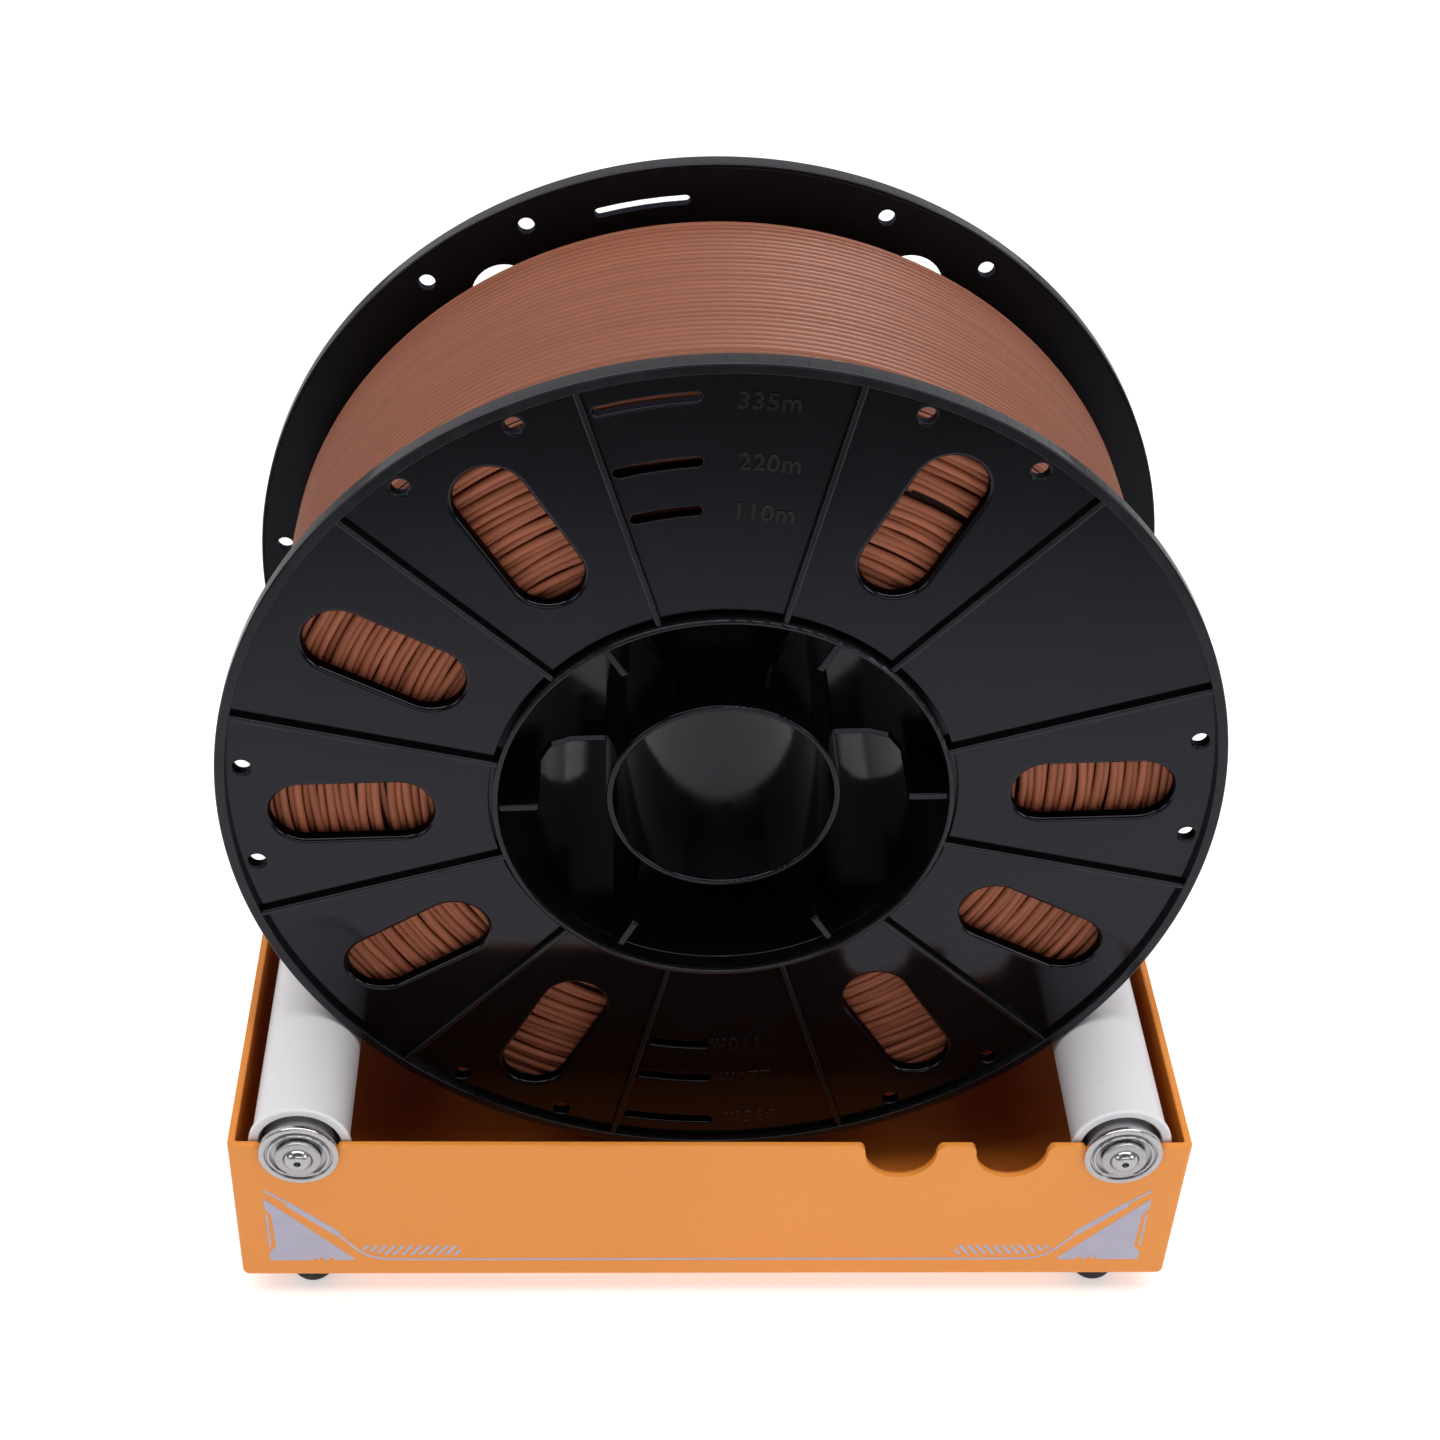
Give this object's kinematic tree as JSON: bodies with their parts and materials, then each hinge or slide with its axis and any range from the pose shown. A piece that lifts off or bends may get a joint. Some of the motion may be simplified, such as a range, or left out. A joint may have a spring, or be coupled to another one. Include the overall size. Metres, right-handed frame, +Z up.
{
  "type": "spool holder stand",
  "caption": "Open sheet-metal tray with two bearing-mounted idler rollers, carrying a flanged reel of wound filament that turns on the rollers.",
  "frame": {"origin": "on the resting plane, under the middle of the tray", "axes": "+X to the right seen from the front, +Y to the rear along the rollers and the reel axis, +Z up"},
  "size_m": [0.2006, 0.1482, 0.2156],
  "materials": {
    "orange_paint": "satin powder coat on sheet steel",
    "black_rubber": "soft matt rubber",
    "shield_steel": "pressed satin steel",
    "ball_steel": "polished",
    "bearing_steel": "ground bright steel",
    "washer_steel": "satin",
    "shaft_steel": "polished turned steel",
    "white_cap_plastic": "smooth moulded",
    "white_tube_plastic": "smooth extruded, slightly satin",
    "brown_filament": "satin extruded strand, wound in layers",
    "black_reel_plastic": "injection moulded, semi-gloss"
  },
  "bodies": {
    "base": {"front_left_bearing_balls": "ball_steel", "front_left_bearing_outer_ring": "bearing_steel", "front_left_bearing_shields": "shield_steel", "front_left_foot": "black_rubber", "front_right_bearing_balls": "ball_steel", "front_right_bearing_outer_ring": "bearing_steel", "front_right_bearing_shields": "shield_steel", "front_right_foot": "black_rubber", "rear_left_bearing_balls": "ball_steel", "rear_left_bearing_outer_ring": "bearing_steel", "rear_left_bearing_shields": "shield_steel", "rear_left_foot": "black_rubber", "rear_right_bearing_balls": "ball_steel", "rear_right_bearing_outer_ring": "bearing_steel", "rear_right_bearing_shields": "shield_steel", "rear_right_foot": "black_rubber", "tray": "orange_paint"},
    "left_roller": {"front_left_bearing_inner_ring": "bearing_steel", "front_left_retaining_washer": "washer_steel", "front_left_roller_bearing_balls": "ball_steel", "front_left_roller_bearing_inner_ring": "bearing_steel", "front_left_roller_bearing_outer_ring": "bearing_steel", "front_left_roller_bearing_shields": "shield_steel", "front_left_roller_end_cap": "white_cap_plastic", "left_roller_shaft": "shaft_steel", "left_roller_tube": "white_tube_plastic", "rear_left_bearing_inner_ring": "bearing_steel", "rear_left_retaining_washer": "washer_steel", "rear_left_roller_bearing_balls": "ball_steel", "rear_left_roller_bearing_inner_ring": "bearing_steel", "rear_left_roller_bearing_outer_ring": "bearing_steel", "rear_left_roller_bearing_shields": "shield_steel", "rear_left_roller_end_cap": "white_cap_plastic"},
    "right_roller": {"front_right_bearing_inner_ring": "bearing_steel", "front_right_retaining_washer": "washer_steel", "front_right_roller_bearing_balls": "ball_steel", "front_right_roller_bearing_inner_ring": "bearing_steel", "front_right_roller_bearing_outer_ring": "bearing_steel", "front_right_roller_bearing_shields": "shield_steel", "front_right_roller_end_cap": "white_cap_plastic", "rear_right_bearing_inner_ring": "bearing_steel", "rear_right_retaining_washer": "washer_steel", "rear_right_roller_bearing_balls": "ball_steel", "rear_right_roller_bearing_inner_ring": "bearing_steel", "rear_right_roller_bearing_outer_ring": "bearing_steel", "rear_right_roller_bearing_shields": "shield_steel", "rear_right_roller_end_cap": "white_cap_plastic", "right_roller_shaft": "shaft_steel", "right_roller_tube": "white_tube_plastic"},
    "reel": {"reel_front_flange": "black_reel_plastic", "reel_rear_flange": "black_reel_plastic", "reel_barrel": "black_reel_plastic", "reel_hub_tube": "black_reel_plastic", "reel_spokes": "black_reel_plastic", "wound_filament": "brown_filament"}
  },
  "joints": [
    {"name": "reel_spin", "type": "hinge", "parent": "base", "child": "reel", "pos_m": [0, 0, 0.11536], "axis": [0, 1, 0], "continuous": true},
    {"name": "left_roller_spin", "type": "hinge", "parent": "base", "child": "left_roller", "pos_m": [-0.08565, 0, 0.0457], "axis": [0, 1, 0], "continuous": true},
    {"name": "right_roller_spin", "type": "hinge", "parent": "base", "child": "right_roller", "pos_m": [0.08565, 0, 0.0457], "axis": [0, 1, 0], "continuous": true}
  ],
  "couplings": [
    {"joint": "left_roller_spin", "follows": "reel_spin", "ratio": -10.02},
    {"joint": "right_roller_spin", "follows": "reel_spin", "ratio": -10.02}
  ]
}
